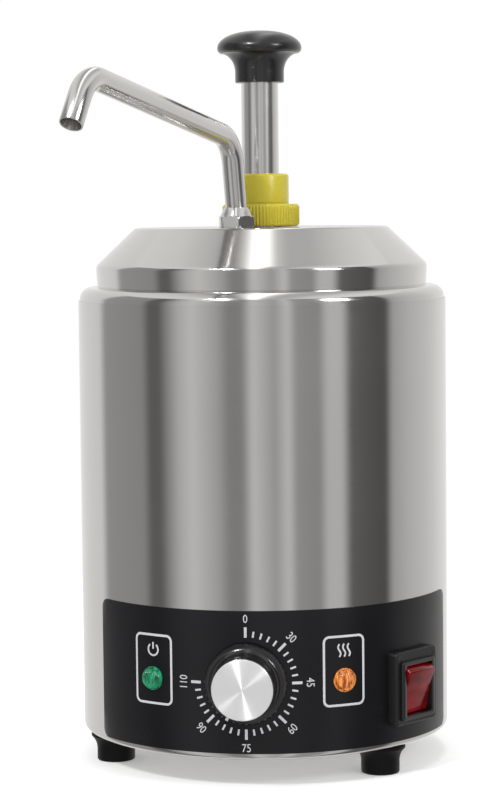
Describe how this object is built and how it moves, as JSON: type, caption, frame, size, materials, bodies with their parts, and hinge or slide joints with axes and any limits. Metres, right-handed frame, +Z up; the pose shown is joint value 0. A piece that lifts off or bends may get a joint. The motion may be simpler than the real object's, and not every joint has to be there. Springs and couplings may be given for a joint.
{
  "type": "hot fudge topping warmer",
  "caption": "Round heated well in a steel shell with a lift-out bowl, and a lid that carries a plunger pump with a long bent spout.",
  "frame": {"origin": "on the body's axis, in the plane that the feet stand on", "axes": "+Z up along the body's and the pump's axis; -Y towards the thermostat and the spout side; +X towards the switch"},
  "size_m": [0.21, 0.3275, 0.4137],
  "materials": {
    "stainless_brushed": "brushed round the body",
    "stainless_polished": "bright, fine polished",
    "zinc_steel": "zinc plated",
    "black_rubber": "matt",
    "black_panel": "satin black overlay",
    "black_gloss_plastic": "glossy phenolic",
    "black_plastic": "moulded, satin",
    "yellow_plastic": "translucent moulded nylon",
    "white_plastic": "natural",
    "green_lens": "translucent, ribbed",
    "amber_lens": "translucent, ribbed",
    "red_lens": "translucent",
    "aluminium": "spun face",
    "brass": "bright",
    "copper": "bright drawn copper",
    "heater_sheath": "oxidised sheath"
  },
  "bodies": {
    "base": {"outer_shell": "stainless_brushed", "heating_well": "stainless_polished", "bottom_cover": "stainless_brushed", "cover_screws": "zinc_steel", "foot_front_right": "black_rubber", "foot_front_left": "black_rubber", "foot_rear": "black_rubber", "foot_screws": "zinc_steel", "foot_nuts": "zinc_steel", "control_panel": "black_panel", "thermostat_body": "black_plastic", "thermostat_nut": "stainless_polished", "capillary_bulb": "copper", "bulb_clip": "zinc_steel", "heating_element": "heater_sheath", "heater_plate": "zinc_steel", "heater_nuts": "zinc_steel", "thermal_cutout": "black_plastic", "power_lamp_lens": "green_lens", "power_lamp_body": "black_plastic", "heating_lamp_lens": "amber_lens", "heating_lamp_body": "black_plastic", "lamp_nuts": "zinc_steel", "switch_plinth": "black_plastic", "switch_housing": "black_plastic", "switch_terminals": "brass", "terminal_bracket": "zinc_steel", "terminal_block": "white_plastic", "earth_stud": "brass", "gland_body": "black_plastic", "gland_nut": "black_plastic", "gland_cap": "black_plastic"},
    "bowl": {"food_bowl": "stainless_brushed"},
    "lid_and_pump": {"lid": "stainless_polished", "pump_cylinder": "stainless_polished", "pump_gasket": "white_plastic", "plunger_guide": "yellow_plastic", "wiper_seal": "white_plastic", "valve_body": "stainless_polished", "discharge_tube": "stainless_polished", "spout_socket": "stainless_polished", "spout_nut": "stainless_polished", "spout_tube": "stainless_polished", "return_spring": "stainless_polished"},
    "plunger": {"plunger_knob": "black_gloss_plastic", "plunger_tube": "stainless_polished", "piston": "white_plastic", "piston_seal": "black_rubber"},
    "collar": {"lock_collar": "yellow_plastic"},
    "inlet_check": {"inlet_ball": "stainless_polished"},
    "outlet_check": {"outlet_ball": "stainless_polished"},
    "dial": {"dial_knob": "black_gloss_plastic", "dial_cap": "aluminium", "dial_pointer": "white_plastic", "dial_spindle": "stainless_polished"},
    "switch_rocker": {"rocker": "red_lens"}
  },
  "joints": [
    {"name": "bowl_lift", "type": "slide", "parent": "base", "child": "bowl", "axis": [0, 0, 1], "range_m": [0, 0.2]},
    {"name": "lid_lift", "type": "slide", "parent": "bowl", "child": "lid_and_pump", "axis": [0, 0, 1], "range_m": [0, 0.2]},
    {"name": "plunger_press", "type": "slide", "parent": "lid_and_pump", "child": "plunger", "axis": [0, 0, 1], "range_m": [-0.045, 0], "stiffness_N_per_m": 300, "springref_m": 0.02, "deforming": ["return_spring"]},
    {"name": "collar_turn", "type": "hinge", "parent": "lid_and_pump", "child": "collar", "pos_m": [0, 0, 0.309], "axis": [0, 0, 1], "range_deg": [0, 90]},
    {"name": "inlet_ball_lift", "type": "slide", "parent": "lid_and_pump", "child": "inlet_check", "axis": [0, 0, 1], "range_m": [0, 0.003]},
    {"name": "outlet_ball_lift", "type": "slide", "parent": "lid_and_pump", "child": "outlet_check", "axis": [0, 0, 1], "range_m": [0, 0.003]},
    {"name": "thermostat_turn", "type": "hinge", "parent": "base", "child": "dial", "pos_m": [0, -0.105, 0.0585], "axis": [0, -1, 0], "range_deg": [-62, 208]},
    {"name": "rocker_press", "type": "hinge", "parent": "base", "child": "switch_rocker", "pos_m": [0.08719, -0.06037, 0.0485], "axis": [0.5693, 0.8221, 0], "range_deg": [-30, 0]}
  ]
}
